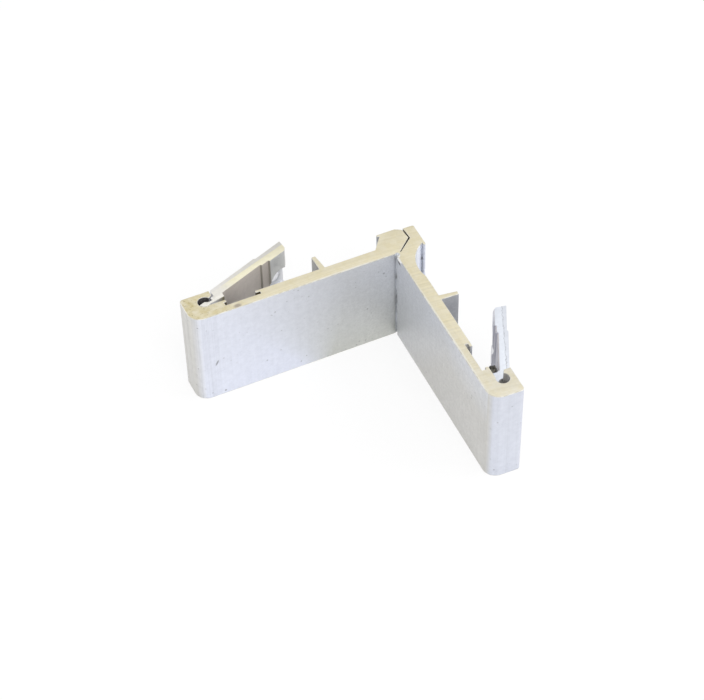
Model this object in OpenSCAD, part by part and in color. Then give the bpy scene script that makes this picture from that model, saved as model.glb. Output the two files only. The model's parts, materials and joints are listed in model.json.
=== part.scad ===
// Crimp corner cleat of extruded aluminium with two hinged levers, in millimetres, +Z up.
// One arm runs along -X, the other along -Y; the inner faces meet at the inner corner.
// In an arm's own measure, u runs along the arm from the inner corner and v runs outward from its inner face.
// In a lever's own measure, a runs from the hinge axis to the tip and b runs outward from that axis.

/* [Body] */
// Height of the body, sawn square at top and bottom
body_h = 25; // [20:0.5:40]
// Length of each arm from the inner corner
arm_len = 49.2; // [46:0.1:60]
// Angle between the two inner faces, sprung a little past square
corner_angle = 87.5; // [86.5:0.1:89.5]
// Thickness of each arm's plate
plate_t = 3.2; // [2.9:0.1:3.6]
// Thickness left in the recess of each plate
recess_floor = 1.9; // [1.5:0.1:2.1]
// Length of the recess before the end block
recess_len = 7.4; // [5:0.1:9]
// Depth of the undercut below the plate's lip
undercut_d = 1; // [0.6:0.1:1.4]
// Height of that undercut
undercut_h = 0.65; // [0.4:0.05:0.8]

/* [Corner heads] */
// Thickness of both heads from the inner face
head_t = 7.55; // [6.8:0.05:8.2]
// Distance from the inner corner to the foot of the first head's flank
flank_u = 3.6; // [3.3:0.05:4]
// Slope of that flank above its plate
flank_angle = 52.5; // [51:0.5:56]
// Radius of the hollow between the second head and its plate
groove_r = 8.7; // [8:0.1:9.4]
// Distance from the inner corner to the middle of that hollow
groove_u = 6.5; // [6.2:0.1:6.8]
// How far that hollow dips into its plate
groove_dip = 0.45; // [0.2:0.05:0.6]
// Reach of the small lip at the outer edge of each head
head_lip = 1.06; // [0.8:0.02:1.2]
// Thickness of that lip
head_lip_t = 0.65; // [0.4:0.05:0.9]
// Reach of the second head past the inner corner
head_reach = 7.2; // [6.6:0.1:7.5]
// Rounding of the second head's outer corner
head_round = 0.45; // [0.2:0.05:0.8]
// Knee of the joint between the heads, along the first arm's line
knee_x = 5; // [4.6:0.05:5.4]
// Knee of the joint, outward from the first arm's inner face
knee_y = 3.65; // [3.2:0.05:4]
// Where the line of the joint's inner limb would meet the first arm's inner face
joint_in = 0.95; // [0.6:0.05:1.1]
// Where the joint comes out at the back of the heads
joint_back = 4.75; // [4.4:0.05:5.2]
// Length of the bevel on the first head's back corner
nose_len = 1.4; // [0.8:0.05:1.8]
// Depth of that bevel
nose_d = 0.9; // [0.5:0.05:1.2]
// Width of the saw-thin joint before the corner was sprung
joint_gap = 0.06; // [0.05:0.01:0.2]
// Thickness of the web that holds both arms together
web_t = 1.3; // [1:0.1:1.8]
// Radius of the crease along the inner corner
crease_r = 0.46; // [0.42:0.01:0.5]
// Shift of that crease from the inner corner into the second arm's root
crease_shift = 0.26; // [0.2:0.01:0.3]

/* [Fin] */
// Distance from the inner corner to the fin's straight side
fin_u = 17.45; // [16:0.05:19]
// Height of the fin above its plate
fin_h = 4.2; // [3:0.1:5]
// Thickness of the fin at its tip
fin_tip = 1; // [0.7:0.05:1.3]
// Thickness of the fin at its root
fin_root = 1.45; // [1.3:0.05:1.9]

/* [End block and socket] */
// Distance from the end of the arm to the hinge axis
hinge_back = 4.9; // [4.5:0.05:5.4]
// Distance from the inner face to the hinge axis
hinge_out = 4.9; // [4.7:0.05:5.4]
// Radius of the round socket
socket_r = 1.5; // [1.45:0.05:1.6]
// Thickness of the outer lip over the socket
outer_lip_t = 1.35; // [1:0.05:1.8]
// Distance from the hinge axis to the end of the outer lip
outer_lip_len = 2.2; // [2.1:0.05:2.4]
// Angle up the socket at which the outer lip's inner side starts
mouth_angle = 30; // [25:1:35]
// Distance from the hinge axis inward to the inner lip
mouth_low = 1.3; // [1.2:0.02:1.4]
// Distance from the hinge axis to the front of the end block
block_front = 3.8; // [3.4:0.05:4.2]
// Reach of the nub on the inner lip
nub_len = 0.6; // [0.3:0.05:0.8]
// Thickness of that nub
nub_t = 0.8; // [0.5:0.05:1]
// Rounding of that nub
nub_round = 0.2; // [0.1:0.05:0.25]
// Rounding of the end block's inner corner
end_round_in = 3; // [2:0.1:3.3]
// Rounding of the end block's outer corner
end_round_out = 0.8; // [0.4:0.05:1.2]

/* [Levers] */
// Height of each lever
lever_h = 16.2; // [12:0.1:20]
// Opening angle of the first lever
left_open = 22; // [18:0.5:24.5]
// Opening angle of the second lever
right_open = 25; // [18:0.5:25]
// Height of the body's top above the first lever's top
left_drop = 0; // [0:0.1:0.5]
// Height of the body's top above the second lever's top
right_drop = 3; // [0:0.1:4]
// Length from the hinge axis to the outer edge of the tip
tip_len = 25; // [22:0.1:27]
// Outward offset of the lever's outer face at the tip
tip_out = 1.35; // [1.2:0.05:1.5]
// Rise of the outer face behind the tip
back_step = 0.3; // [0.2:0.05:0.5]
// Distance from the tip to that rise
back_step_u = 8; // [6:0.1:9]
// Inward offset of the shank's inner face
shank_in = 0.85; // [0.6:0.05:1]
// Rise of each of the two steps on the inner face
step_rise = 0.38; // [0.2:0.02:0.45]
// Distance from the tip to the first step
step_one = 8.5; // [7.8:0.1:9]
// Distance from the tip to the second step
step_two = 6.3; // [5.5:0.1:7]
// Run of each step
step_run = 0.25; // [0.1:0.05:0.4]
// Slant of the end face at the tip
tip_slant = 16; // [10:0.5:24]
// Slant of the end face at the heel
heel_slant = 22; // [16:0.5:26]
// Chamfer of the tip's inner corner
tip_chamfer = 0.6; // [0.3:0.05:0.9]
// Radius of the round screw seat that breaks out of the tip
seat_r = 3.3; // [2.8:0.05:3.5]
// Thickness left below the screw seat
seat_floor = 0.85; // [0.6:0.05:1.1]
// Radius of the screw hole through the seat
screw_r = 1.4; // [1:0.05:1.6]
// Height of the slot that leads from the seat out of the tip
slot_h = 6; // [5:0.1:6.4]
// Distance from the outer edge of the tip to the axis of the screw hole
seat_back = 2.95; // [2.6:0.05:3.2]
// Distance from the hinge axis to the heel's outer corner
heel_len = 4.65; // [4.5:0.05:4.8]
// Opening angle at which the heel lies along the inner lip
heel_travel = 11; // [9:0.5:12]
// Distance from the hinge axis to the neck's shoulder
neck_len = 2.58; // [2.56:0.02:2.8]
// Slope of the shoulder that stops on the outer lip
shoulder_run = 0.75; // [0.7:0.02:0.85]
// Width of the inner edge that the shear rolled over at one end
roll_w = 0.42; // [0.2:0.02:0.5]
// Height of that rolled edge
roll_h = 0.5; // [0.2:0.05:0.8]
// Radius of the scoop that makes the foot a hook
scoop_r = 1.55; // [1.45:0.05:1.65]
// Depth of the scoop below the hinge axis
scoop_d = 0.8; // [0.6:0.05:0.9]

/* [Fits] */
// Radial clearance of the foot in its socket
foot_clear = 0.05; // [0.03:0.01:0.08]
// Clearance between the closed heel and the inner lip
lip_clear = 0.1; // [0.06:0.01:0.14]

/* [Hidden] */
$fn = 96;
eps = 0.01;
over = 1;
far = 200;
spring = 90 - corner_angle;
hinge_u = arm_len - hinge_back;
block_t = hinge_out + socket_r + outer_lip_t;
block_u = hinge_u - block_front;
recess_u = block_u - recess_len;
lip_v = hinge_out - mouth_low;
flank_top = flank_u - (head_t - plate_t) / tan(flank_angle);
groove_v = plate_t - groove_dip + groove_r;
groove_half = sqrt(groove_r * groove_r - (groove_v - head_t) * (groove_v - head_t));
nose_x = joint_back + (knee_x - joint_back) * nose_d / (head_t - knee_y);
foot_r = socket_r - foot_clear;
tip_in = shank_in + 2 * step_rise;
back_out = tip_out + back_step;
heel_reach = mouth_low - lip_clear;
heel_slope = tan(heel_travel);
heel_drop = heel_reach / cos(heel_travel);
heel_tip_a = (heel_len - (heel_drop - shank_in) * tan(heel_slant)) / (1 + heel_slope * tan(heel_slant));
heel_tip_b = -heel_drop - heel_slope * heel_tip_a;
tip_in_a = tip_len - (tip_out + tip_in) * tan(tip_slant);
scoop_a = sqrt(scoop_r * scoop_r - (scoop_r - scoop_d) * (scoop_r - scoop_d)) - eps;
left_top = body_h - left_drop;
right_top = body_h - right_drop;

// Outermost points that set the middle of the part's box
tip_right_u = hinge_u - tip_len * cos(right_open) + tip_out * sin(right_open);
tip_right_v = hinge_out + tip_len * sin(right_open) + tip_out * cos(right_open);
box_x0 = -arm_len;
box_x1 = tip_right_v * sin(corner_angle) - tip_right_u * cos(corner_angle);
box_y0 = -(arm_len - end_round_out) * sin(corner_angle)
    - (block_t - end_round_out) * cos(corner_angle) - end_round_out;
box_y1 = hinge_out + tip_len * sin(left_open) + tip_out * cos(left_open);
middle = [(box_x0 + box_x1) / 2, (box_y0 + box_y1) / 2, 0];

// What is cut away to round a square corner at the origin that points along +x and +y
module corner_cut(r) {
    difference() {
        translate([-r, -r])
            square([r + eps, r + eps]);
        translate([-r, -r])
            circle(r);
    }
}

// Plate with its fin, recess and undercut, in one arm's measure
module plate_2d(reach) {
    difference() {
        translate([-reach, 0])
            square([reach + recess_u, plate_t]);
        translate([recess_u - undercut_d, recess_floor])
            square([undercut_d + eps, undercut_h]);
    }
    fin_2d();
    translate([recess_u - undercut_d, 0])
        square([recess_len + undercut_d + eps, recess_floor]);
}

// First head with a straight flank
module flanked_head_2d(reach) {
    polygon([
        [-reach, 0],
        [flank_u, 0],
        [flank_u, plate_t],
        [flank_top, head_t],
        [-reach, head_t]
    ]);
    lip_2d(flank_top);
}

// Second arm's plate and head, with the round hollow between them
module hollowed_arm_2d(reach) {
    difference() {
        union() {
            plate_2d(reach);
            translate([-reach, 0])
                square([reach + groove_u, head_t]);
        }
        translate([groove_u, groove_v])
            circle(groove_r);
    }
    lip_2d(groove_u - groove_half);
}

// Small rounded lip at the outer edge of a head, whose side comes out at u
module lip_2d(u) {
    translate([u - head_lip, head_t - head_lip_t])
        square([2 * head_lip - head_lip_t / 2, head_lip_t]);
    translate([u + head_lip - head_lip_t / 2, head_t - head_lip_t / 2])
        circle(head_lip_t / 2);
}

// Thin fin with one straight and one drafted side
module fin_2d() {
    polygon([
        [fin_u, plate_t - eps],
        [fin_u, plate_t + fin_h],
        [fin_u - fin_tip, plate_t + fin_h],
        [fin_u - fin_root, plate_t - eps]
    ]);
}

// End block with its socket, mouth and two lips
module block_2d() {
    difference() {
        union() {
            translate([block_u, 0])
                square([arm_len - block_u, block_t]);
            translate([block_u - nub_len, lip_v - nub_t])
                square([nub_len + eps, nub_t]);
        }
        translate([hinge_u, hinge_out])
            circle(socket_r);
        mouth_2d();
        translate([arm_len, 0])
            mirror([0, 1])
                corner_cut(end_round_in);
        translate([arm_len, block_t])
            corner_cut(end_round_out);
        translate([block_u - nub_len, lip_v])
            mirror([1, 0])
                corner_cut(nub_round);
    }
}

// Mouth of the socket, open toward the corner
module mouth_2d() {
    polygon([
        [block_u - nub_len - over, lip_v],
        [hinge_u, lip_v],
        [hinge_u, hinge_out],
        [hinge_u - socket_r * cos(mouth_angle), hinge_out + socket_r * sin(mouth_angle)],
        [hinge_u - outer_lip_len, hinge_out + mouth_low],
        [hinge_u - outer_lip_len, block_t + over],
        [block_u - nub_len - over, block_t + over]
    ]);
}

// First arm, up to the joint between the heads
module left_arm_2d() {
    intersection() {
        mirror([1, 0])
            union() {
                plate_2d(knee_x + over);
                flanked_head_2d(knee_x + over);
                block_2d();
            }
        polygon([
            [0, 0],
            [joint_in, 0],
            [knee_x, knee_y],
            [nose_x, head_t - nose_d],
            [joint_back - nose_len, head_t],
            [joint_back - nose_len, far],
            [-far, far],
            [-far, 0]
        ]);
    }
}

// Second arm, up to the joint, as it lies before the corner is sprung
module right_arm_2d() {
    intersection() {
        rotate(-90)
            difference() {
                union() {
                    hollowed_arm_2d(head_reach);
                    block_2d();
                }
                translate([-head_reach, head_t])
                    mirror([1, 0])
                        corner_cut(head_round);
            }
        polygon([
            [0, -far],
            [far, -far],
            [far, far],
            [joint_back + joint_gap, far],
            [joint_back + joint_gap, head_t],
            [knee_x + joint_gap, knee_y - joint_gap / 2],
            [joint_in + joint_gap, -joint_gap / 2],
            [0, -joint_gap / 2]
        ]);
    }
}

// Thin web round the inner corner, the only link between the arms
module web_2d() {
    difference() {
        circle(web_t);
        polygon([
            [0, 0],
            [-far, 0],
            [-far, -far],
            [-far * cos(corner_angle), -far * sin(corner_angle)]
        ]);
    }
}

// Whole extruded body
module cleat_body() {
    color("#d3d5d8")
        translate(-middle)
            linear_extrude(height = body_h)
                difference() {
                    union() {
                        left_arm_2d();
                        rotate(-spring)
                            right_arm_2d();
                        web_2d();
                    }
                    translate([crease_shift, -crease_shift])
                        circle(crease_r);
                }
}

// Outline of a lever in its own measure, with the hinge axis at the origin
module lever_2d() {
    difference() {
        union() {
            intersection() {
                circle(foot_r);
                translate([-far / 2, -far])
                    square([far, far]);
            }
            polygon([
                [0, 0],
                [0, -heel_drop],
                [heel_tip_a, heel_tip_b],
                [heel_len, -shank_in],
                [tip_len - step_one, -shank_in],
                [tip_len - step_one + step_run, -shank_in - step_rise],
                [tip_len - step_two, -shank_in - step_rise],
                [tip_len - step_two + step_run, -tip_in],
                [tip_in_a - tip_chamfer, -tip_in],
                [tip_in_a + tip_chamfer * tan(tip_slant), -tip_in + tip_chamfer],
                [tip_len, tip_out],
                [tip_len - back_step_u + back_step, tip_out],
                [tip_len - back_step_u, back_out],
                [neck_len + shoulder_run, back_out],
                [neck_len, 0]
            ]);
        }
        translate([scoop_a, scoop_r - scoop_d])
            circle(scoop_r);
    }
}

// What the shear rolled off the lower inner edge, along a stretch of the inner face at the given depth
module rolled_edge(from, to, depth) {
    translate([from, -depth, 0])
        rotate([90, 0, 90])
            linear_extrude(height = to - from)
                polygon([
                    [-roll_w, 2 * roll_h],
                    [2 * roll_w, -roll_h],
                    [-roll_w, -roll_h]
                ]);
}

// One lever from its rolled end, with the screw hole, its seat and the slot out of the tip
module lever() {
    difference() {
        linear_extrude(height = lever_h)
            lever_2d();
        rolled_edge(heel_len + roll_w, tip_len - step_one, shank_in);
        rolled_edge(tip_len - step_one, tip_len - step_two, shank_in + step_rise);
        rolled_edge(tip_len - step_two, tip_len, tip_in);
        translate([tip_len - seat_back, tip_out - seat_floor, lever_h / 2])
            rotate([90, 0, 0])
                cylinder(r = seat_r, h = tip_out + tip_in);
        translate([tip_len - seat_back, -tip_in - seat_floor, (lever_h - slot_h) / 2])
            cube([seat_back + over, tip_out + tip_in, slot_h]);
        translate([tip_len - seat_back, tip_out + over, lever_h / 2])
            rotate([90, 0, 0])
                cylinder(r = screw_r, h = tip_out + tip_in + over);
    }
}

// Lever in the first arm's socket
module left_lever() {
    color("#c9c6c0")
        translate(-middle)
            translate([-hinge_u, hinge_out, left_top - lever_h])
                rotate(left_open)
                    lever();
}

// The same lever turned over, in the second arm's socket
module right_lever() {
    color("#dfe3ec")
        translate(-middle)
            rotate(180 + corner_angle)
                translate([hinge_u, hinge_out, right_top])
                    rotate(-right_open)
                        rotate([0, 180, 0])
                            lever();
}

cleat_body();
left_lever();
right_lever();
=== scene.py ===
"""Dress the crimp corner cleat: broken edges, sawn and extruded finishes, burr, stage and camera."""

import json
import math

import bmesh
import bpy
from mathutils import Matrix, Vector


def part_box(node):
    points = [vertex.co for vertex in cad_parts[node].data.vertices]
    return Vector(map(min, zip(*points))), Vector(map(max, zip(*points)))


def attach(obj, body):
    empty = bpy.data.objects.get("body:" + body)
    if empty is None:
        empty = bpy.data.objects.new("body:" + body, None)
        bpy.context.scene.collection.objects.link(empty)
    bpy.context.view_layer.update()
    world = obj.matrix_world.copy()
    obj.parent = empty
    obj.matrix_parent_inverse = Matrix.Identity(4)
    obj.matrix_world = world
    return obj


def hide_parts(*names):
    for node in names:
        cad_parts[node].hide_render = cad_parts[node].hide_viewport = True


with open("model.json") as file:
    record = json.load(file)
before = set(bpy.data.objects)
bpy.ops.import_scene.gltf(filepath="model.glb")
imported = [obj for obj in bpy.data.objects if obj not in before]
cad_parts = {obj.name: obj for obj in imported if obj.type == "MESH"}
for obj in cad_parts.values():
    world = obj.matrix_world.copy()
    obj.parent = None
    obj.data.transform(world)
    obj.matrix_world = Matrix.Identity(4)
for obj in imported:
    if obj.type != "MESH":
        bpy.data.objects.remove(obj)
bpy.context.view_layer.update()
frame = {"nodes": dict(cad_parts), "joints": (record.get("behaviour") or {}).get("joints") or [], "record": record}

bl_info = {
    "name": "Crimp corner cleat finish",
    "version": (1, 0, 0),
    "blender": (4, 5, 0),
    "location": "View3D > Sidebar > Cleat",
    "description": "Gives a crimp corner cleat its edges, metal finishes, stage and camera",
    "category": "Object",
}

MM = 0.001
BODY_LOW, BODY_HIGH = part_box("cleat_body")
JOINTS = {joint["child"]: joint for joint in frame["joints"]}
MOUNTS = {mount["name"]: mount for mount in frame["record"]["mounts"]}

# Size of the picture that the camera is worked out for, in pixels
PICTURE_W = 704
PICTURE_H = 700

# Kinds of node that the finishes use most
MAPPING = "ShaderNodeMapping"
MATH = "ShaderNodeMath"
MIX = "ShaderNodeMix"
NOISE = "ShaderNodeTexNoise"
PARTS = "ShaderNodeSeparateXYZ"
RANGE = "ShaderNodeMapRange"
# Settings of a Mix node that runs one colour into another, and of one that darkens or lightens a colour
BLEND = {"data_type": "RGBA"}
SHADE = {"data_type": "RGBA", "blend_type": "MULTIPLY"}
# A Mix node's inputs by number: the second colour's share, and both colours
SHARE, FIRST, SECOND = 0, 6, 7
# Values that most of a noise texture lies between
NOISE_SPAN = (0.3, 0.7)
# Share of a mark's half size within which it is at full strength
BLOT_CORE = 0.45

# Sizes of the finishes' patterns
SKIN_GRAIN = 0.5 * MM
SPECK_SPACING = 1.7 * MM
SPECK_FIELD = 6 * MM
SAWN_GRAIN = 1.5 * MM
FLECK_SIZE = 0.8 * MM
SHEAR_GRAIN = 0.9 * MM
BURR_PATCH = 1.1 * MM
CREASE_PATCH = 3 * MM
SHADOW_LUMP_PATCH = 0.9 * MM
ROOT_PATCH = 0.6 * MM
EVEN_PATCH = 2 * MM
# Scale of the die's lines along the bar, small enough to stretch them over its height
DRAWN_OUT = 0.012
# How much the levers' smooth strip widens toward the tip, over the length
STRIP_SLOPE = 0.035
# Where a skin runs from its own tone into its far tone along X, at the floor and at the top: painted shade toward
# the arms' corner, painted light toward the hollow's outer edge
ARM_CORNER_SHADE = ((-6.5 * MM, 0.5 * MM), (-28 * MM, 6 * MM))
HOLLOW_LIGHTENING = ((20.4 * MM, 22.2 * MM), (20.4 * MM, 22.2 * MM))
EVEN_GREYING = ((0, MM), (0, MM))
# A normal's X where the painted shade on the faces along -X starts, on most skins and on the end's and hollow's
# skins
SIDE_SHADE_SOON = -0.35
SIDE_SHADE_LATE = -0.75
# A normal's X where that painted shade is full
SIDE_SHADE_FULL = -0.95

# Reach of each of the body's recesses from the middle of its round or corner, and of the end from its face
HOLLOW_REACH = 8.75 * MM
SOCKET_REACH = 1.65 * MM
RECESS_REACH = 0.75 * MM
JOINT_REACH = 0.5 * MM
CREASE_REACH = 0.55 * MM
END_REACH = 2.5 * MM
# Turn of the burr, which lies along the second arm's inner face
BEAD_TURN = math.radians(-2.5)
# A lever's stretches along its length from the hinge: neck, heel, first step, and the end of its shank
NECK_REACH = 1.5 * MM
HEEL_REACH = 4.6 * MM
STEPS_FROM = 10 * MM
SHANK_LEN = 18.5 * MM
# Distance from the last step to the hole's axis, the seat's depth and reach about it, and the cut's depth
STEPS_SHORT = 2.5 * MM
SEAT_DEPTH = 2.3 * MM
SEAT_REACH = 4 * MM
CUT_DEPTH = 0.2 * MM

# How a CAD node's triangles become faces with broken edges
MERGE_REACH = 0.002 * MM
FLAT_ANGLE = math.radians(0.3)
SHARP_ANGLE = math.radians(30)
SMOOTH_ANGLE = math.radians(32)
# Heights, in shares of a lump's half height, below which it narrows step by step
FOOT_LEVELS = (-0.1, -0.4, -0.7)

# The floor's side in metres, and how much of its white glows toward the camera and in the metal
FLOOR_SIZE = 6
GLOW_SEEN = 0.8
GLOW_MIRRORED = 0.35
# Strength of the even light all round
STUDIO_LIGHT = 0.85
# The camera's sensor in millimetres, and how near and far it sees in metres
SENSOR_WIDTH = 36
CLIP_REACH = (0.01, 10)


def linear(hex_colour):
    """Turn an sRGB hex colour into linear red, green, blue and alpha."""
    parts = [int(hex_colour[i:i + 2], 16) / 255 for i in (1, 3, 5)]
    return (*[c / 12.92 if c <= 0.04045 else ((c + 0.055) / 1.055) ** 2.4 for c in parts], 1.0)


def colour(name, description, hex_colour):
    """A colour that a user can change, with its default as sRGB hex."""
    return bpy.props.FloatVectorProperty(
        name=name, description=description, subtype="COLOR", size=4, min=0, max=1,
        default=linear(hex_colour),
    )


def length(name, description, millimetres):
    """A length that a user can change, with its default in millimetres."""
    return bpy.props.FloatProperty(
        name=name, description=description, subtype="DISTANCE", unit="LENGTH", min=0,
        precision=5, default=millimetres * MM,
    )


def spot(name, description, millimetres):
    """A place on the cleat that a user can move, with its default in millimetres."""
    return bpy.props.FloatVectorProperty(
        name=name, description=description, subtype="XYZ_LENGTH", unit="LENGTH", size=3,
        precision=5, default=[value * MM for value in millimetres],
    )


class CleatBodySettings(bpy.types.PropertyGroup):
    """Sizes and colours of the extruded body's finish."""

    edge_break: length("Edge break", "Width of the broken edges round every face", 0.14)
    saw_spacing: length("Saw spacing", "Distance between the streaks that the saw left", 0.55)
    blade_radius: length("Blade radius", "Radius of the saw blade that cut the bar", 150)
    die_spacing: length("Die line spacing", "Distance between lines drawn by the extrusion die", 0.7)
    blotch_size: length("Blotch size", "Size of the cloudy patches on the extruded skin", 1.4)
    skin: colour("Extruded skin", "Colour of the faces across the first arm", "#e5e8f2")
    # Painted shade: the next two tones are the skin painted darker toward the inner corner, and toward the floor
    # there
    skin_far: colour("Skin by the corner", "Colour of those faces toward the inner corner", "#d7d9dd")
    skin_low: colour("Skin low by the corner", "Colour of those faces there toward the floor", "#d2d3cf")
    # Painted shade: the next two tones are the skin painted darker and warmer on the faces that look along -X
    side: colour("Shaded side skin", "Colour of the faces across the second arm", "#d6d5d2")
    side_far: colour("Side by the corner", "Colour of the side-shaded faces toward the inner corner", "#dddfe3")
    # Painted light: the end's tone stands in for the painted corner shade on the second arm's end, and the
    # hollow's tone paints the hollow lighter toward its outer edge
    end_skin: colour("Unshaded end", "Colour of the second arm's end", "#dadde6")
    hollow_skin: colour("Lightened hollow", "Colour of the second head's hollow toward its outer edge", "#eef1fa")
    sawn: colour("Sawn face", "Colour of the sawn faces", "#f0e9d1")
    sawn_pale: colour("Pale sawn face", "Colour of the sawn faces at the second arm's end", "#f1ede0")
    sawn_dark: colour("Sawn mottling", "Colour of the mottling on the sawn faces", "#dfd4ab")
    # Partly painted highlight: the next two tones colour the broken edges, which are real burr and are also
    # painted bright as the edges' highlight
    burr: colour("Burred, highlighted edge", "Colour of the bright broken edges", "#f7f5ec")
    burr_dull: colour("Dull edge", "Colour of the dull stretches of the edges", "#e0dccd")
    # Partly painted glint: the tear's white is torn metal and also a glint
    tear_glint: colour("Tear and glint", "Colour of the bright torn metal and its painted glint beside the crease", "#ffffff")
    stain: colour("Stain", "Colour of the stain on the first arm's sawn edge", "#bdb3a4")
    # Painted shade: the next three tones darken the joint, the undercuts, the nubs' corners and the sockets
    shaded: colour("Shadowy recess", "Colour of the oily metal in the joint and the first undercut", "#70664f")
    shadowed: colour("Shadowed socket", "Colour of the dark metal in the first socket", "#7d7a7c")
    greyed: colour("Greyed recess", "Colour of the metal in the second socket, undercut and nub", "#c8c6c3")
    # Painted light: the crease's tone is painted lighter against its shade, with darker stretches at random
    crease_tone: colour("Crease", "Colour of the cleaner metal in the crease", "#eaecef")
    crease_darker: colour("Crease dirt", "Colour of the darker stretches of the crease", "#ccced0")
    fleck: colour("Flecks", "Colour of the torn flecks on the first arm's sawn end", "#b5a777")
    speck_and_shade: colour("Specks", "Colour of specks, scratches and painted shade", "#6b6a6c")
    crease: spot("Crease", "Middle of the crease along the inner corner", (17.05, 16.67, 0))
    joint_start: spot("Joint start", "Where the joint starts at the web", (17.95, 17.2, 0))
    joint_knee: spot("Joint knee", "Knee of the joint between the heads", (21.8, 20.6, 0))
    joint_end: spot("Joint end", "Where the joint comes out at the back", (21.7, 24.5, 0))
    left_undercut: spot("First undercut", "Middle of the first arm's undercut", (-15.85, 19.2, 0))
    right_undercut: spot("Second undercut", "Middle of the second arm's undercut", (17.5, -15.66, 0))
    left_nub: spot("First nub", "Corner below the nub of the first arm's end block", (-23.75, 19.3, 0))
    right_nub: spot("Second nub", "Corner below the nub of the second arm's end block", (17.33, -23.59, 0))
    hollow: spot("Hollow", "Axis of the round hollow in the second head", (27.9, 9.98, 0))
    hollow_edge: spot("Hollow's edge", "Middle of the darker outer edge of the hollow", (24.2, 17.9, 12.5))
    # Painted shade: the next three spots are darkened as shade under the lip and on both fins
    flank: spot("Flank", "Painted shade under the first head's lip", (15.2, 23.6, 23))
    left_fin: spot("First fin", "Painted shade on the first arm's fin", (-0.6, 22.3, 18))
    right_fin: spot("Second fin", "Painted shade on the second arm's fin", (21.3, -0.4, 18))
    scratch: spot("Scratch", "Middle of the scratch on the first arm", (-27.6, 16.97, 10.4))
    low_nick: spot("Low nick", "Nick by the lower edge of the first arm", (-26.16, 16.97, 0.99))
    corner_nick: spot("Corner nick", "Nick near the inner corner", (13.74, 16.97, 20.24))
    mid_nick: spot("Middle nick", "Nick at mid height of the first arm", (9.49, 16.97, 10.95))
    hollow_nick: spot("Hollow nick", "Dark nick in the second head's hollow", (23.68, 17.52, 20.4))
    # Painted shadow: the dark mark below the burr bead
    burr_shadow: spot("Burr shadow", "Painted shadow below the burr", (16.68, 15.28, 23.75))
    bead: spot("Burr bead", "Middle of the burr over the second arm's inner face", (16.62, 14.9, 24.7))
    stained: spot("Stained edge", "Middle of the stain on the first arm's sawn edge", (-21.5, 17.5, 25))
    # Painted highlight: the two pale lines along the sawn edges below
    pale_edge: spot("Pale edge", "Middle of the pale line on the second arm's sawn edge", (15.5, -11.7, 25))
    first_edge_glint: spot("First edge glint", "Middle of the pale line on the first arm's sawn edge", (4, 17.1, 25))
    torn_glint: spot("Torn glint", "Middle of the bright torn metal and its painted glint beside the crease", (17.11, 16.11, 25))


class CleatLeverSettings(bpy.types.PropertyGroup):
    """Sizes and colours of the levers' finish."""

    edge_break: length("Edge break", "Width of the broken edges round every face", 0.08)
    burnish: length("Burnished strip", "Width over which the smooth strip wanders", 0.86)
    strip_from: length("Strip start", "Distance of the smooth strip outward from the hinge's axis", 0.95)
    root_len: length("Bright root", "Length from the hinge over which the cut is whiter", 5)
    skin: colour("Extruded skin", "Colour of the levers' mill finish", "#ededea")
    # Painted shade: the shank's inner face is painted warmer and darker
    shank: colour("Warm shank", "Colour of the inner face of the first lever's shank", "#e4dcd2")
    # Painted shade: the levers' skin painted darker on their faces that look along -X
    side: colour("Shaded side skin", "Colour of the levers' faces across the second arm", "#eae9f2")
    sheared: colour("Torn strip", "Colour of the torn part of the first lever's sheared face", "#fffae2")
    burnished: colour("Burnished strip", "Colour of the smooth part of a sheared face", "#edebe4")
    # Painted shade: the tones of both levers' two steps
    step_shade: colour("Step shade", "Colour of the painted shade on the first lever's two steps", "#bbb4a8")
    pale_step_shade: colour("Pale step shade", "Colour of the second lever's two steps", "#e3e3ed")
    root: colour("Torn root", "Colour of the first lever's cut near its hinge", "#f6f4f0")
    # Painted shadow: the dark tone toward the end of the first lever's heel
    heel: colour("Shadowed heel", "Colour of the oily end of the first lever's heel", "#9a937c")
    # Partly painted light: the seat and hole are drilled metal, painted lighter against their shade
    drilled_and_lightened: colour("Drilled metal", "Colour of the bright seat and hole", "#f2f3f6")
    bright: colour("Bright cut", "Colour of the second lever's fresh cut", "#f4f8ff")
    bright_strip: colour("Bright strip", "Colour of the second lever's faint strip", "#f0f4fc")
    # Painted shadow: the dark lump at the second lever's heel
    shadow_lump: colour("Shadow lump", "Colour of the dark lump of painted shadow at the second lever's heel", "#3d3c36")
    shadow_lump_pale: colour("Thin shadow lump", "Colour of the shadow lump where it is thin", "#77746c")
    shadow_lump_size: length("Clot size", "Half the length of the shadow lump along the lever", 1.0)


class CleatStageSettings(bpy.types.PropertyGroup):
    """Floor, light and camera."""

    floor: colour("Floor", "Colour of the floor", "#ffffff")
    focal_px: bpy.props.FloatProperty(
        name="Focal length in pixels", description="Focal length over the picture's pixel size", default=2000)
    azimuth: bpy.props.FloatProperty(
        name="Azimuth", description="Camera's turn about the cleat", subtype="ANGLE",
        default=math.radians(-25.51))
    elevation: bpy.props.FloatProperty(
        name="Elevation", description="Camera's height above the floor's plane", subtype="ANGLE",
        default=math.radians(45.69))
    roll: bpy.props.FloatProperty(
        name="Roll", description="Camera's turn about its own line of sight", subtype="ANGLE",
        default=math.radians(-0.78))
    centre_px: bpy.props.FloatVectorProperty(
        name="Optical centre", description="Pixel that the line of sight goes through", size=2,
        default=(375.0, 359.2))
    place: bpy.props.FloatVectorProperty(
        name="Camera place", description="Camera's place in the cleat's frame", size=3,
        subtype="XYZ_LENGTH", unit="LENGTH", default=(-129.53 * MM, -278.0 * MM, 328.58 * MM))


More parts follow.
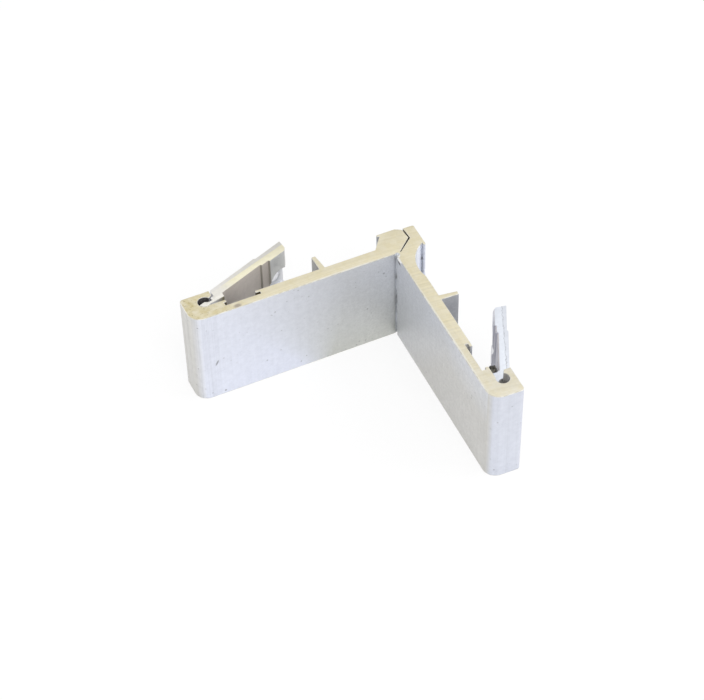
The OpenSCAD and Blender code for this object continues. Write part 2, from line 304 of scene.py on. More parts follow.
def node(tree, kind, inputs=(), **settings):
    """Add one node, set it, and set or link its inputs, given in order or by name or number."""
    made = tree.nodes.new(kind)
    for name, value in settings.items():
        setattr(made, name, value)
    rows = inputs.items() if isinstance(inputs, dict) else enumerate(inputs)
    for key, value in rows:
        if isinstance(value, bpy.types.Node):
            value = next(output for output in value.outputs if output.enabled)
        if isinstance(value, bpy.types.NodeSocket):
            tree.links.new(value, made.inputs[key])
        else:
            made.inputs[key].default_value = value
    return made


def new_material(name):
    """An empty node material and its tree."""
    material = bpy.data.materials.new(name)
    material.use_nodes = True
    material.node_tree.nodes.clear()
    return material, material.node_tree


def finish_metal(tree, tone, rough, relief, strength, depth):
    """End a metal's nodes with its colour, its roughness and the bumps of its relief."""
    bump = node(tree, "ShaderNodeBump", {"Height": relief, "Strength": strength, "Distance": depth})
    metal = node(tree, "ShaderNodeBsdfPrincipled", {
        "Metallic": 1.0, "Base Color": tone, "Roughness": rough, "Normal": bump})
    node(tree, "ShaderNodeOutputMaterial", {"Surface": metal})


def blot(tree, place, middle, half_sizes, turn):
    """A soft mask: one inside an ellipsoid of the given half sizes in millimetres, nought outside it."""
    local = node(tree, MAPPING, {
        "Vector": place, "Location": middle, "Rotation": [math.radians(angle) for angle in turn],
        "Scale": [size * MM for size in half_sizes]}, vector_type="TEXTURE")
    reach = node(tree, "ShaderNodeVectorMath", [local], operation="LENGTH").outputs["Value"]
    return node(tree, RANGE, [reach, BLOT_CORE, 1.0, 1.0, 0.0])


def mill_aluminium(name, body, skin, skin_far, skin_low, greying, side, side_far, side_shade_from, marks=()):
    """Mill-finish extruded aluminium: a soft grey metal skin with faint lines along the extrusion, and painted
    shade toward the corner and on the faces along -X.
    """
    material, tree = new_material(name)
    where = node(tree, "ShaderNodeTexCoord")
    place = where.outputs["Object"]
    along, across, height = node(tree, PARTS, [place]).outputs
    looks = node(tree, PARTS, [where.outputs["Normal"]]).outputs["X"]
    # Painted shade: the faces that look along -X are painted darker and warmer, less so by the corner and at the
    # second arm's top
    lighter = node(tree, MATH, [
        node(tree, RANGE, [node(tree, MATH, [across, height], operation="ADD"), 4 * MM, 20 * MM]),
        node(tree, RANGE, [height, 15 * MM, 24 * MM, 0.0, 0.8])], operation="MAXIMUM")
    lighter = node(tree, MATH, [lighter, node(tree, RANGE, [along, 2 * MM, 8 * MM])], operation="MULTIPLY")
    dimmer = node(tree, MIX, {SHARE: lighter, FIRST: side, SECOND: side_far}, **BLEND)
    side_shade_share = node(tree, RANGE, [looks, side_shade_from, SIDE_SHADE_FULL])
    # Painted shade: toward the corner the skin is painted greyer, within a short stretch at the floor and slowly
    # at the top
    upward = node(tree, RANGE, [height, 2 * MM, 20 * MM])
    far = node(tree, MIX, {SHARE: upward, FIRST: skin_low, SECOND: skin_far}, **BLEND)
    paler = node(tree, RANGE, [along, 5 * MM, 14 * MM, 1.0, 1.05])
    far = node(tree, MIX, {SHARE: 1.0, FIRST: far, SECOND: paler}, **SHADE)
    start, end = (node(tree, RANGE, [height, 0.0, BODY_HIGH[2], *levels]) for levels in zip(*greying))
    greyed = node(tree, RANGE, [along, start, end])
    tone = node(tree, MIX, {SHARE: greyed, FIRST: skin, SECOND: far}, **BLEND)
    # Painted shade: the skin is painted slightly lighter low down and darker high up
    darker = node(tree, RANGE, [height, 2 * MM, 22 * MM, 1.02, 0.97])
    tone = node(tree, MIX, {SHARE: 1.0, FIRST: tone, SECOND: darker}, **SHADE)
    tone = node(tree, MIX, {SHARE: side_shade_share, FIRST: tone, SECOND: dimmer}, **BLEND)
    # Faint clouds where the skin oxidised unevenly
    cloud = node(tree, NOISE, {"Vector": place, "Scale": 1 / body.blotch_size, "Detail": 4, "Roughness": 0.6})
    clouded = node(tree, RANGE, [cloud, *NOISE_SPAN, 1.025, 0.97])
    # Its finer grain, which is stronger toward the corner and weak at both arms' ends
    fine = node(tree, NOISE, {"Vector": place, "Scale": 1 / SKIN_GRAIN, "Detail": 3, "Roughness": 0.7})
    inward = node(tree, MATH, [
        node(tree, RANGE, [along, -8 * MM, 12 * MM, 0.25, 1.0]),
        node(tree, RANGE, [across, BODY_LOW[1] + 2 * MM, BODY_LOW[1] + 10 * MM, 0.15, 1.0])],
        operation="MULTIPLY")
    grained = node(tree, MATH, [
        node(tree, RANGE, [fine, 0.35, 0.65, 0.055, -0.055]), inward], operation="MULTIPLY")
    # Lines that the die drew along the bar, stretched along its height
    drawn = node(tree, MAPPING, {"Vector": place, "Scale": (1, 1, DRAWN_OUT)})
    lines = node(tree, NOISE, {"Vector": drawn, "Scale": 1 / body.die_spacing, "Detail": 2})
    lined = node(tree, RANGE, [lines, *NOISE_SPAN, 0.985, 1.01])
    # Broader draw marks round both arms' ends
    broad = node(tree, NOISE, {
        "Vector": drawn, "Scale": 0.5 / body.die_spacing, "Detail": 3, "Roughness": 0.7})
    ended = node(tree, MATH, [
        node(tree, RANGE, [along, BODY_LOW[0] + 2 * MM, BODY_LOW[0] + 7 * MM, 1.0, 0.0]),
        node(tree, RANGE, [across, BODY_LOW[1] + 1 * MM, BODY_LOW[1] + 9 * MM, 0.35, 0.0])],
        operation="MAXIMUM")
    banded = node(tree, MATH, [
        node(tree, RANGE, [broad, 0.36, 0.52, 0.11, -0.02]), ended], operation="MULTIPLY")
    grain_left, band_left = (
        node(tree, MATH, [1.0, taken], operation="SUBTRACT") for taken in (grained, banded))
    for factor in (clouded, grain_left, lined, band_left):
        tone = node(tree, MIX, {SHARE: 1.0, FIRST: tone, SECOND: factor}, **SHADE)
    # Specks of dirt, a quarter of a millimetre across, more of them near the floor
    spots = node(tree, "ShaderNodeTexVoronoi", {"Vector": place, "Scale": 1 / SPECK_SPACING})
    sown = node(tree, MATH, [
        node(tree, NOISE, {"Vector": place, "Scale": 1 / SPECK_FIELD}),
        node(tree, RANGE, [height, 0.5 * MM, 4 * MM, 0.12, 0.0])], operation="ADD")
    darkening = node(tree, MATH, [
        node(tree, RANGE, [spots, 0.06, 0.16, 1.0, 0.0]), node(tree, RANGE, [sown, 0.46, 0.62, 0.0, 0.4])],
        operation="MULTIPLY")
    # Nicks and notches where the photograph shows them, and painted shade under the first head's lip, on both fins
    # and below the burr
    for middle, half_sizes, turn, strength in marks:
        mark = node(tree, MATH, [blot(tree, place, middle, half_sizes, turn), strength], operation="MULTIPLY")
        darkening = node(tree, MATH, [darkening, mark], operation="MAXIMUM")
    tone = node(tree, MIX, {SHARE: darkening, FIRST: tone, SECOND: body.speck_and_shade}, **BLEND)
    finish_metal(tree, tone, node(tree, RANGE, [cloud, *NOISE_SPAN, 0.5, 0.6]), lines, 0.15, 0.01 * MM)
    return material


def sawn_aluminium(name, body, marks):
    """Saw-cut aluminium: a warm, torn, mottled face with faint arcs that the blade's teeth left."""
    material, tree = new_material(name)
    place = node(tree, "ShaderNodeTexCoord").outputs["Object"]
    along, across, _ = node(tree, PARTS, [place]).outputs
    # Distance from the blade's arbor gives the arcs, which run along the first arm
    arbor = node(tree, MAPPING, {
        "Vector": place, "Location": (0, body.blade_radius, 0), "Scale": (1, 1, 0)})
    reach = node(tree, "ShaderNodeVectorMath", [arbor], operation="LENGTH").outputs["Value"]
    streak = node(
        tree, NOISE, {"W": reach, "Scale": 1 / body.saw_spacing, "Detail": 2}, noise_dimensions="1D")
    # The mottling is strongest at the first arm's end block, whose place is the low end of X
    grain = node(tree, NOISE, {"Vector": place, "Scale": 1 / SAWN_GRAIN, "Detail": 4, "Roughness": 0.6})
    worn = node(tree, RANGE, [along, BODY_LOW[0] + 4 * MM, BODY_LOW[0] + 14 * MM, 1.0, 0.3])
    mottled = node(tree, MATH, [node(tree, RANGE, [grain, 0.35, 0.65]), worn], operation="MULTIPLY")
    # Small torn flecks there too
    tears = node(tree, NOISE, {"Vector": place, "Scale": 1 / FLECK_SIZE, "Detail": 2, "Roughness": 0.7})
    torn = node(tree, MATH, [
        node(tree, RANGE, [tears, 0.6, 0.7, 0.0, 0.7]), node(tree, RANGE, [worn, 0.4, 1.0])],
        operation="MULTIPLY")
    # The second arm's end is paler
    paled = node(tree, RANGE, [across, BODY_LOW[1] + 26 * MM, BODY_LOW[1] + 8 * MM, 0.0, 0.7])
    tone = body.sawn
    for share, second in ((paled, body.sawn_pale), (mottled, body.sawn_dark), (torn, body.fleck)):
        tone = node(tree, MIX, {SHARE: share, FIRST: tone, SECOND: second}, **BLEND)
    streaked = node(tree, RANGE, [streak, *NOISE_SPAN, 0.96, 1.03])
    tone = node(tree, MIX, {SHARE: 1.0, FIRST: tone, SECOND: streaked}, **SHADE)
    # The bright tear with its painted glint, the stain, and the pale edges painted as highlights, where the
    # photograph shows them
    for middle, half_sizes, turn, mark_tone in marks:
        share = blot(tree, place, middle, half_sizes, turn)
        tone = node(tree, MIX, {SHARE: share, FIRST: tone, SECOND: mark_tone}, **BLEND)
    finish_metal(tree, tone, node(tree, RANGE, [grain, *NOISE_SPAN, 0.5, 0.62]), grain, 0.25, 0.03 * MM)
    return material


def plain_aluminium(name, first, second, patch, rough):
    """Bare aluminium in two tones that run into each other in patches of the given size."""
    material, tree = new_material(name)
    place = node(tree, "ShaderNodeTexCoord").outputs["Object"]
    torn = node(tree, NOISE, {"Vector": place, "Scale": 1 / patch, "Detail": 3})
    share = node(tree, RANGE, [torn, 0.42, 0.6])
    tone = node(tree, MIX, {SHARE: share, FIRST: first, SECOND: second}, **BLEND)
    shaded = node(tree, RANGE, [torn, *NOISE_SPAN, 1.0, 0.94])
    tone = node(tree, MIX, {SHARE: 1.0, FIRST: tone, SECOND: shaded}, **SHADE)
    roughened = node(tree, RANGE, [torn, *NOISE_SPAN, rough - 0.05, rough + 0.05])
    finish_metal(tree, tone, roughened, torn, 0.2, 0.02 * MM)
    return material


def sheared_aluminium(
        name, levers, torn, burnished, root, hinge, turn, strip_shift, ragged, lip, tip_shade):
    """Sheared aluminium: a smooth burnished strip on the blade's side and a torn strip beside it."""
    material, tree = new_material(name)
    place = node(tree, "ShaderNodeTexCoord").outputs["Object"]
    # The lever's own measure: x along the lever, y across its thickness
    local = node(tree, MAPPING, {
        "Vector": place, "Location": hinge, "Rotation": (0, 0, turn)}, vector_type="TEXTURE")
    lengthwise, across, _ = node(tree, PARTS, [local]).outputs
    along = node(tree, MATH, [lengthwise], operation="ABSOLUTE")
    grain = node(tree, NOISE, {"Vector": place, "Scale": 1 / SHEAR_GRAIN, "Detail": 4, "Roughness": 0.6})
    # The strip widens toward the tip, and its edge wanders with the grain
    level = node(tree, MATH, [along, STRIP_SLOPE, across], operation="MULTIPLY_ADD")
    wandering = ragged * levers.burnish
    wander = node(tree, MATH, [grain, wandering, level], operation="MULTIPLY_ADD")
    strip_edge = levers.strip_from + strip_shift + 0.5 * wandering
    strip = node(tree, RANGE, [wander, strip_edge, strip_edge + 0.2 * levers.burnish])
    tone = node(tree, MIX, {SHARE: strip, FIRST: torn, SECOND: burnished}, **BLEND)
    rooted = node(tree, RANGE, [along, levers.root_len, 1.8 * levers.root_len, 0.85, 0.0])
    tone = node(tree, MIX, {SHARE: rooted, FIRST: tone, SECOND: root}, **BLEND)
    grained = node(tree, RANGE, [grain, *NOISE_SPAN, 0.94, 1.02])
    tipped = node(tree, RANGE, [along, 12 * MM, 24 * MM, 1.0, tip_shade])
    # The lip that the tear left along the strip's edge
    ridge = node(tree, MATH, [strip, 0.5], operation="SUBTRACT")
    ridge = node(tree, MATH, [ridge], operation="ABSOLUTE")
    lipped = node(tree, RANGE, [ridge, 0.1, 0.5, 1 - lip, 1.0])
    for factor in (grained, tipped, lipped):
        tone = node(tree, MIX, {SHARE: 1.0, FIRST: tone, SECOND: factor}, **SHADE)
    finish_metal(tree, tone, node(tree, RANGE, [strip, 0.0, 1.0, 0.6, 0.42]), grain, 0.25, 0.03 * MM)
    return material


def make_active(piece):
    """Make one object the only selected and active one."""
    bpy.ops.object.select_all(action="DESELECT")
    piece.select_set(True)
    bpy.context.view_layer.objects.active = piece


def dressed_copy(name, node_name, edge_break):
    """Copy a CAD node, merge its triangles into faces and break its edges."""
    piece = bpy.data.objects.new(name, frame["nodes"][node_name].data.copy())
    bpy.context.scene.collection.objects.link(piece)
    piece.data.materials.clear()
    make_active(piece)
    bpy.ops.mesh.customdata_custom_splitnormals_clear()
    bpy.ops.object.mode_set(mode="EDIT")
    bpy.ops.mesh.select_mode(type="EDGE")
    bpy.ops.mesh.select_all(action="SELECT")
    bpy.ops.mesh.remove_doubles(threshold=MERGE_REACH)
    bpy.ops.mesh.dissolve_limited(angle_limit=FLAT_ANGLE)
    bpy.ops.mesh.select_all(action="DESELECT")
    bpy.ops.mesh.edges_select_sharp(sharpness=SHARP_ANGLE)
    # Inner edges stay sharp
    shape = bmesh.from_edit_mesh(piece.data)
    for edge in shape.edges:
        if edge.select and not edge.is_convex:
            edge.select_set(False)
    bmesh.update_edit_mesh(piece.data)
    bpy.ops.mesh.bevel(offset=edge_break, offset_type="OFFSET", segments=2, affect="EDGES")
    bpy.ops.object.mode_set(mode="OBJECT")
    bpy.ops.object.shade_smooth_by_angle(angle=SMOOTH_ANGLE)
    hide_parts(node_name)
    return piece


def give_faces(piece, material, chosen):
    """Give a material to the faces that a test chooses."""
    piece.data.materials.append(material)
    index = len(piece.data.materials) - 1
    for face in piece.data.polygons:
        if chosen(face):
            face.material_index = index


def near(face, reach, start, *stops):
    """Whether a face's middle lies within reach of the upright strip through the given places."""
    flat, *corners = (Vector((place[0], place[1])) for place in (face.center, start, *stops))
    for first, last in zip(corners, corners[1:] or corners):
        run = last - first
        share = (flat - first).dot(run) / run.length_squared if run.length > 0 else 0
        if (flat - first - run * min(max(share, 0), 1)).length < reach:
            return True
    return False


def lump(name, middle, half_sizes, turn, seed, roughness, foot=1.0):
    """A small uneven lump: a ball roughened, stretched and narrowed toward its foot, then turned."""
    bpy.ops.object.select_all(action="DESELECT")
    bpy.ops.mesh.primitive_ico_sphere_add(subdivisions=4, radius=1)
    piece = bpy.context.active_object
    piece.name = name
    bpy.ops.object.mode_set(mode="EDIT")
    bpy.ops.mesh.select_all(action="SELECT")
    bpy.ops.transform.vertex_random(offset=roughness, uniform=0.0, normal=1.0, seed=seed)
    bpy.ops.mesh.vertices_smooth(factor=0.5, repeat=3)
    bpy.ops.transform.resize(value=half_sizes, center_override=(0, 0, 0))
    for level in FOOT_LEVELS:
        bpy.ops.mesh.select_all(action="DESELECT")
        shape = bmesh.from_edit_mesh(piece.data)
        for vertex in shape.verts:
            vertex.select_set(vertex.co.z < level * half_sizes[2])
        shape.select_flush(True)
        bmesh.update_edit_mesh(piece.data)
        bpy.ops.transform.resize(value=(foot, foot, 1), center_override=(0, 0, 0))
    bpy.ops.object.mode_set(mode="OBJECT")
    piece.data.transform(Matrix.Translation(middle) @ Matrix.Rotation(turn, 4, "Z"))
    bpy.ops.object.shade_smooth()
    return piece


def seat_lump(piece, material, node_name):
    """Give a lump its material and body."""
    piece.data.materials.append(material)
    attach(piece, node_name)


class CLEAT_OT_body(bpy.types.Operator):
    """Dress the extruded body with broken edges, its finishes and the burr by its inner corner"""

    bl_idname = "cleat.body"
    bl_label = "Dress the body"

    def execute(self, context):
        """Build the body's piece, its finishes and the burr."""
        cfg = context.scene.cleat_body
        piece = dressed_copy("extruded_body", "cleat_body", cfg.edge_break)
        skin, end, hollow = self.skins(cfg)
        # Each mark: its middle, half sizes in millimetres, turn in degrees and colour
        sawn = sawn_aluminium("saw cut aluminium", cfg, (
            # Partly painted glint: the tear's white; painted highlights: the pale lines along both sawn edges
            (cfg.torn_glint, (0.32, 0.85, 1), (0, 0, -29), cfg.tear_glint),
            (cfg.stained, (1.1, 0.8, 1), (0, 0, 0), cfg.stain),
            (cfg.pale_edge, (0.5, 30, 1), (0, 0, -2.5), cfg.burr),
            (cfg.first_edge_glint, (13, 0.32, 1), (0, 0, 0), cfg.sawn_pale),
        ))
        burr = plain_aluminium("burred aluminium edge with painted highlight", cfg.burr, cfg.burr_dull, BURR_PATCH, 0.42)
        bright = plain_aluminium("bright torn aluminium burr with painted glint", cfg.tear_glint, cfg.burr, BURR_PATCH, 0.4)
        shadowy = plain_aluminium("shade-darkened aluminium recess", cfg.shaded, cfg.shaded, EVEN_PATCH, 0.6)
        socket_shadow = plain_aluminium("shadowed aluminium socket", cfg.shadowed, cfg.shadowed, EVEN_PATCH, 0.6)
        grey = plain_aluminium("greyed aluminium recess", cfg.greyed, cfg.greyed, EVEN_PATCH, 0.6)
        fold = plain_aluminium("lightened aluminium crease", cfg.crease_tone, cfg.crease_darker, CREASE_PATCH, 0.8)
        first_socket, second_socket = (JOINTS[lever]["pos_m"] for lever in ("left_lever", "right_lever"))
        give_faces(piece, skin, lambda face: True)
        # Painted light: the hollow and the second arm's front end get their own copies of the skin, the end's
        # without the painted corner shade and the hollow's painted lighter
        give_faces(piece, hollow, lambda face: near(face, HOLLOW_REACH, cfg.hollow))
        give_faces(piece, end, lambda face: face.center.y < BODY_LOW[1] + END_REACH and face.normal.y < -0.3)
        # Painted shade: a dark brownish tone in the joint, the first undercut and the first nub's corner, a
        # lighter grey in the second socket, undercut and nub, and a dark grey in the first socket
        give_faces(piece, shadowy, lambda face: (
            near(face, RECESS_REACH, cfg.left_undercut) or near(face, RECESS_REACH, cfg.left_nub)
            or near(face, JOINT_REACH, cfg.joint_start, cfg.joint_knee, cfg.joint_end)))
        give_faces(piece, grey, lambda face: (
            near(face, SOCKET_REACH, second_socket)
            or near(face, RECESS_REACH, cfg.right_undercut) or near(face, RECESS_REACH, cfg.right_nub)))
        give_faces(piece, socket_shadow, lambda face: near(face, SOCKET_REACH, first_socket))
        # Painted light: the crease is painted lighter against its shade, with darker stretches at random
        give_faces(piece, fold, lambda face: near(face, CREASE_REACH, cfg.crease))
        # The broken edges are burr, and are also painted bright as a highlight
        give_faces(piece, burr, lambda face: 0.2 < abs(face.normal.z) <= 0.95)
        give_faces(piece, sawn, lambda face: abs(face.normal.z) > 0.95)
        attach(piece, "cleat_body")
        # The burr bead is real torn metal, and is also painted white as a glint
        bead = lump("corner_burr", cfg.bead, [size * MM for size in (0.28, 1.0, 0.27)], BEAD_TURN, 3, 0.12)
        seat_lump(bead, bright, "cleat_body")
        return {"FINISHED"}

    def skins(self, cfg):
        """The extruded skin, the skin of the second arm's end without the painted corner shade, and that of the
        hollow painted lighter.
        """
        # Each mark: its middle, half sizes in millimetres, turn in degrees and strength
        nicks_and_shade = (
            (cfg.scratch, (0.3, 0.5, 1.0), (0, 27, 0), 0.6),
            (cfg.low_nick, (0.35, 0.35, 0.35), (0, 0, 0), 0.5),
            (cfg.corner_nick, (0.35, 0.35, 0.35), (0, 0, 0), 0.5),
            (cfg.mid_nick, (0.3, 0.3, 0.3), (0, 0, 0), 0.4),
            (cfg.hollow_nick, (0.7, 0.7, 0.5), (0, 0, 0), 0.6),
            (cfg.hollow_edge, (1.7, 1.7, 60), (0, 0, 0), 0.08),
            # Painted shade: under the first head's lip and on the sides of both fins
            (cfg.flank, (1.6, 2, 4), (0, 0, 0), 0.2),
            (cfg.left_fin, (1.5, 4, 30), (0, 0, 0), 0.24),
            (cfg.right_fin, (4.5, 1.5, 30), (0, 0, 0), 0.28),
            # Painted shadow below the burr bead
            (cfg.burr_shadow, (0.6, 1.1, 0.5), (16, 0, 0), 1.0),
        )
        return [
            mill_aluminium(name, cfg, tone, far, low, greying, side, side_far, side_shade_from, nicks_and_shade)
            for name, tone, far, low, greying, side, side_far, side_shade_from in (
                ("mill finish extruded aluminium", cfg.skin, cfg.skin_far, cfg.skin_low, ARM_CORNER_SHADE,
                 cfg.side, cfg.side_far, SIDE_SHADE_SOON),
                ("unshaded extruded aluminium end", cfg.end_skin, cfg.end_skin, cfg.end_skin, HOLLOW_LIGHTENING,
                 cfg.side, cfg.side, SIDE_SHADE_LATE),
                ("lightened extruded aluminium hollow", cfg.skin_far, cfg.hollow_skin, cfg.hollow_skin,
                 HOLLOW_LIGHTENING, cfg.skin_far, cfg.skin_far, SIDE_SHADE_LATE),
            )]


class CLEAT_OT_levers(bpy.types.Operator):
    """Dress both hinged levers with broken edges, their finishes and a dark lump of painted shadow at one heel"""

    bl_idname = "cleat.levers"
    bl_label = "Dress the levers"

    def execute(self, context):
        """Build both levers' pieces, the pale lump of torn metal in one neck and the dark lump of painted shadow
        at the other's heel.
        """
        cfg = context.scene.cleat_levers
        body = context.scene.cleat_body
        bright = plain_aluminium("bored aluminium seat, painted lighter", cfg.drilled_and_lightened, cfg.drilled_and_lightened, EVEN_PATCH, 0.45)
        shadow_lump_finish = plain_aluminium("dark lump of painted shadow", cfg.shadow_lump, cfg.shadow_lump_pale, SHADOW_LUMP_PATCH, 0.5)
        # Painted light: the pale tone of both levers' necks and of the lump in the first one
        pale = plain_aluminium(
            "lightened aluminium of the levers' necks", cfg.root, cfg.root, ROOT_PATCH, 0.5)
        # Of each lever: its cut's three tones, its steps' tone, and its strip's place, wander, lip and tip
        for side, torn, burnished, root, darkening, strip_shift, ragged, lip, tip_shade in (
            ("left", cfg.sheared, cfg.burnished, cfg.root, cfg.step_shade, 0, 0.3, 0.02, 0.865),
            ("right", cfg.bright, cfg.bright_strip, cfg.bright, cfg.pale_step_shade, 0.2 * MM, 1.1, 0.4, 1.0),
        ):
            name = f"{side}_lever"
            piece = dressed_copy(f"{side}_hinged_lever", name, cfg.edge_break)
            low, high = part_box(name)
            hinge = Vector(JOINTS[name]["pos_m"])
            hole = Vector(MOUNTS[f"{side}_screw_hole"]["pos_m"])
            outward = Vector(MOUNTS[f"{side}_screw_hole"]["axis"])
            tipward = (hole - hinge - (hole - hinge).project(outward)).normalized()
            hole_along = (hole - hinge).dot(tipward)
            # The levers' skins carry the same painted shade on their faces along -X
            skin, warm = (
                mill_aluminium(
                    f"{word} aluminium of the {side} lever", body, tone, tone, tone, EVEN_GREYING,
                    cfg.side, cfg.side, SIDE_SHADE_SOON)
                for word, tone in (("mill finish", cfg.skin), ("warm mill finish", cfg.shank)))
            cut = sheared_aluminium(
                f"sheared aluminium of the {side} lever", cfg, torn, burnished, root, hinge,
                math.atan2(outward.y, outward.x) - math.pi / 2, strip_shift, ragged, lip, tip_shade)
            step_shade = plain_aluminium(f"shaded steps of the {side} lever", darkening, darkening, EVEN_PATCH, 0.6)
            give_faces(piece, skin, lambda face: True)
            # Painted shade: the levers' inner faces along the shank are painted warmer and darker
            give_faces(piece, warm, lambda face: (
                face.normal.dot(outward) < -0.5 and (face.center - hinge).dot(tipward) < SHANK_LEN))
            # The drilled seat and hole are painted lighter against their shade
            give_faces(piece, bright, lambda face: (
                (face.center - hole).dot(outward) > -SEAT_DEPTH
                and (face.center - hole - (face.center - hole).project(outward)).length < SEAT_REACH
                and face.normal.dot(outward) < 0.5))
            # Painted shade: both steps look back toward the hinge and lie between it and the seat, and are painted
            # darker
            give_faces(piece, step_shade, lambda face: (
                face.normal.dot(tipward) < -0.5 and abs(face.normal.z) < 0.5
                and STEPS_FROM < (face.center - hinge).dot(tipward) < hole_along - STEPS_SHORT))
            # Painted light: the neck's scoop and the heel's underside are painted pale against their shade
            give_faces(piece, pale, lambda face: (
                (face.center - hinge).dot(tipward) < HEEL_REACH and abs(face.normal.z) < 0.5))
            give_faces(piece, cut, lambda face: (
                abs(face.normal.z) > 0.7
                and min(abs(face.center.z - low[2]), abs(face.center.z - high[2])) < CUT_DEPTH))
            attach(piece, name)
            if side == "left":
                # Painted shadow: the inward faces of the first lever's heel are painted darker toward its end
                reach = (hinge.x + 2.4 * MM, hinge.x + 4.2 * MM)
                shadowy = mill_aluminium(
                    "oily aluminium heel", body, cfg.root, cfg.heel, cfg.heel, (reach, reach),
                    cfg.root, cfg.root, SIDE_SHADE_SOON)
                give_faces(piece, shadowy, lambda face: (
                    face.normal.dot(outward) < -0.3
                    and NECK_REACH < (face.center - hinge).dot(tipward) < HEEL_REACH))
                # A pale lump of torn metal fills the first lever's scoop at the top, partly as painted light in
                # the gap's shade
                middle = hinge + tipward * 2.25 * MM - outward * 0.3 * MM
                middle.z = high[2] - 0.3 * MM
                half_sizes = [size * MM for size in (0.55, 0.45, 0.26)]
                burr = lump("neck_burr", middle, half_sizes, math.atan2(tipward.y, tipward.x), 5, 0.12)
                seat_lump(burr, pale, name)
            else:
                # Painted shadow: a dark lump lies in the corner between the second lever's heel and its shank,
                # standing in for the shade there
                middle = hinge + tipward * 5.7 * MM - outward * 2.0 * MM
                middle.z = high[2] - 1.0 * MM
                half_sizes = [share * cfg.shadow_lump_size for share in (0.95, 1.6, 1.1)]
                shadow_lump = lump("dark_shadow_lump", middle, half_sizes, math.atan2(outward.y, outward.x), 7, 0.3, 0.85)
                seat_lump(shadow_lump, shadow_lump_finish, name)
        return {"FINISHED"}


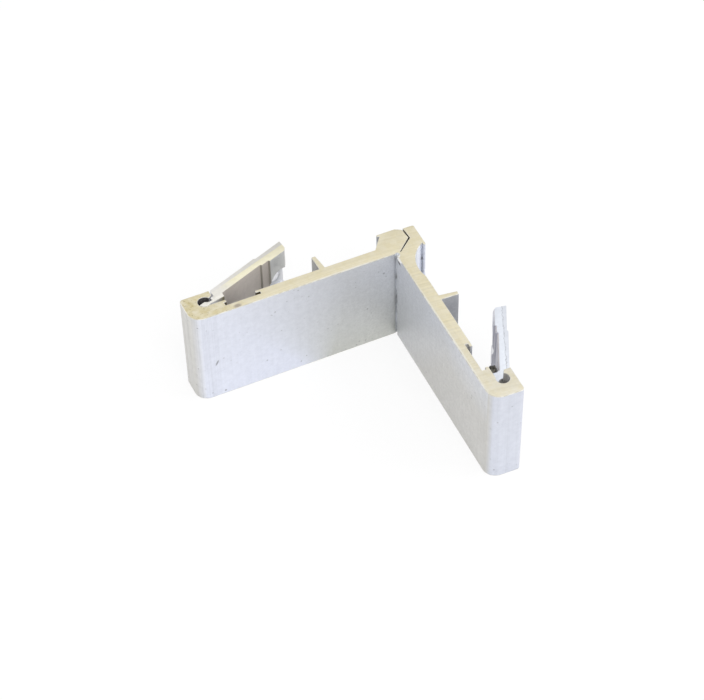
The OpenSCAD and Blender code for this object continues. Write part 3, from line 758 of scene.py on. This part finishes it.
class CLEAT_OT_stage(bpy.types.Operator):
    """Set up the floor, the soft lights, the world and the camera"""

    bl_idname = "cleat.stage"
    bl_label = "Set up the stage"

    def execute(self, context):
        """Build everything that isn't part of the cleat."""
        cfg = context.scene.cleat_stage
        self.floor(cfg)
        self.lights()
        self.world(context.scene)
        self.camera(context.scene, cfg)
        context.scene.view_settings.view_transform = "Standard"
        return {"FINISHED"}

    def floor(self, cfg):
        """A white floor that keeps a faint shadow, seen white by the camera and by the metal."""
        bpy.ops.object.select_all(action="DESELECT")
        bpy.ops.mesh.primitive_plane_add(size=FLOOR_SIZE)
        floor = bpy.context.active_object
        floor.name = "studio_floor"
        material, tree = new_material("matt white paper floor")
        matt = node(tree, "ShaderNodeBsdfDiffuse", {"Color": cfg.floor})
        glow = node(tree, "ShaderNodeEmission", {"Color": cfg.floor, "Strength": 1.0})
        path = node(tree, "ShaderNodeLightPath")
        mirrored = node(tree, MATH, [
            path.outputs["Is Glossy Ray"], path.outputs["Is Transmission Ray"]], operation="ADD")
        seen = node(tree, MATH, [path.outputs["Is Camera Ray"], GLOW_SEEN], operation="MULTIPLY")
        share = node(tree, MATH, [mirrored, GLOW_MIRRORED, seen], operation="MULTIPLY_ADD")
        mixed = node(tree, "ShaderNodeMixShader", [share, matt, glow])
        node(tree, "ShaderNodeOutputMaterial", {"Surface": mixed})
        floor.data.materials.append(material)

    def lights(self):
        """A large soft key from the front left and a weaker fill from the right."""
        for name, place, size, power in (
            ("key_softbox", (-0.1, -0.75, 0.75), 0.6, 3.2),
            ("fill_softbox", (0.7, -0.3, 0.6), 0.6, 1.5),
        ):
            light = bpy.data.lights.new(name, "AREA")
            light.size = size
            light.energy = power
            lamp = bpy.data.objects.new(name, light)
            bpy.context.scene.collection.objects.link(lamp)
            aim = Vector((0, 0, 0.01)) - Vector(place)
            lamp.matrix_world = Matrix.Translation(place) @ aim.to_track_quat("-Z", "Y").to_matrix().to_4x4()

    def world(self, scene):
        """An even pale studio all round."""
        world = bpy.data.worlds.new("pale_studio")
        scene.world = world
        world.use_nodes = True
        tree = world.node_tree
        tree.nodes.clear()
        sky = node(tree, "ShaderNodeBackground", {"Color": linear("#ffffff"), "Strength": STUDIO_LIGHT})
        node(tree, "ShaderNodeOutputWorld", {"Surface": sky})

    def camera(self, scene, cfg):
        """A camera at the photograph's place, turn and field of view."""
        data = bpy.data.cameras.new("picture_camera")
        data.sensor_width = SENSOR_WIDTH
        data.lens = cfg.focal_px / PICTURE_W * data.sensor_width
        data.shift_x = (PICTURE_W / 2 - cfg.centre_px[0]) / PICTURE_W
        data.shift_y = (cfg.centre_px[1] - PICTURE_H / 2) / PICTURE_W
        data.clip_start, data.clip_end = CLIP_REACH
        turn, rise, roll = cfg.azimuth, cfg.elevation, cfg.roll
        back = Vector((math.sin(turn) * math.cos(rise), -math.cos(turn) * math.cos(rise), math.sin(rise)))
        right = Vector((math.cos(turn), math.sin(turn), 0))
        up = back.cross(right)
        rolled_right = right * math.cos(roll) + up * math.sin(roll)
        rolled_up = up * math.cos(roll) - right * math.sin(roll)
        camera = bpy.data.objects.new("picture_camera", data)
        scene.collection.objects.link(camera)
        axes = Matrix((rolled_right, rolled_up, back)).transposed().to_4x4()
        camera.matrix_world = Matrix.Translation(cfg.place) @ axes
        scene.camera = camera


class CLEAT_PT_panel(bpy.types.Panel):
    """Lists the cleat's operators and settings"""

    bl_idname = "CLEAT_PT_panel"
    bl_label = "Crimp corner cleat"
    bl_space_type = "VIEW_3D"
    bl_region_type = "UI"
    bl_category = "Cleat"

    def draw(self, context):
        """Draw one button and one box of settings for each group."""
        for operator, group in (
            ("cleat.body", "cleat_body"), ("cleat.levers", "cleat_levers"), ("cleat.stage", "cleat_stage"),
        ):
            box = self.layout.box()
            box.operator(operator)
            settings = getattr(context.scene, group)
            for key in settings.bl_rna.properties.keys():
                if key not in ("rna_type", "name"):
                    box.prop(settings, key)


CLASSES = (
    CleatBodySettings, CleatLeverSettings, CleatStageSettings,
    CLEAT_OT_body, CLEAT_OT_levers, CLEAT_OT_stage, CLEAT_PT_panel,
)


def register():
    """Register the classes and hang the settings on the scene."""
    for cls in CLASSES:
        bpy.utils.register_class(cls)
    bpy.types.Scene.cleat_body = bpy.props.PointerProperty(type=CleatBodySettings)
    bpy.types.Scene.cleat_levers = bpy.props.PointerProperty(type=CleatLeverSettings)
    bpy.types.Scene.cleat_stage = bpy.props.PointerProperty(type=CleatStageSettings)


def unregister():
    """Take the settings and classes away again."""
    del bpy.types.Scene.cleat_stage
    del bpy.types.Scene.cleat_levers
    del bpy.types.Scene.cleat_body
    for cls in reversed(CLASSES):
        bpy.utils.unregister_class(cls)


def main():
    """Build the stage and every piece."""
    register()
    bpy.ops.cleat.stage()
    bpy.ops.cleat.body()
    bpy.ops.cleat.levers()


if __name__ == "__main__":
    main()
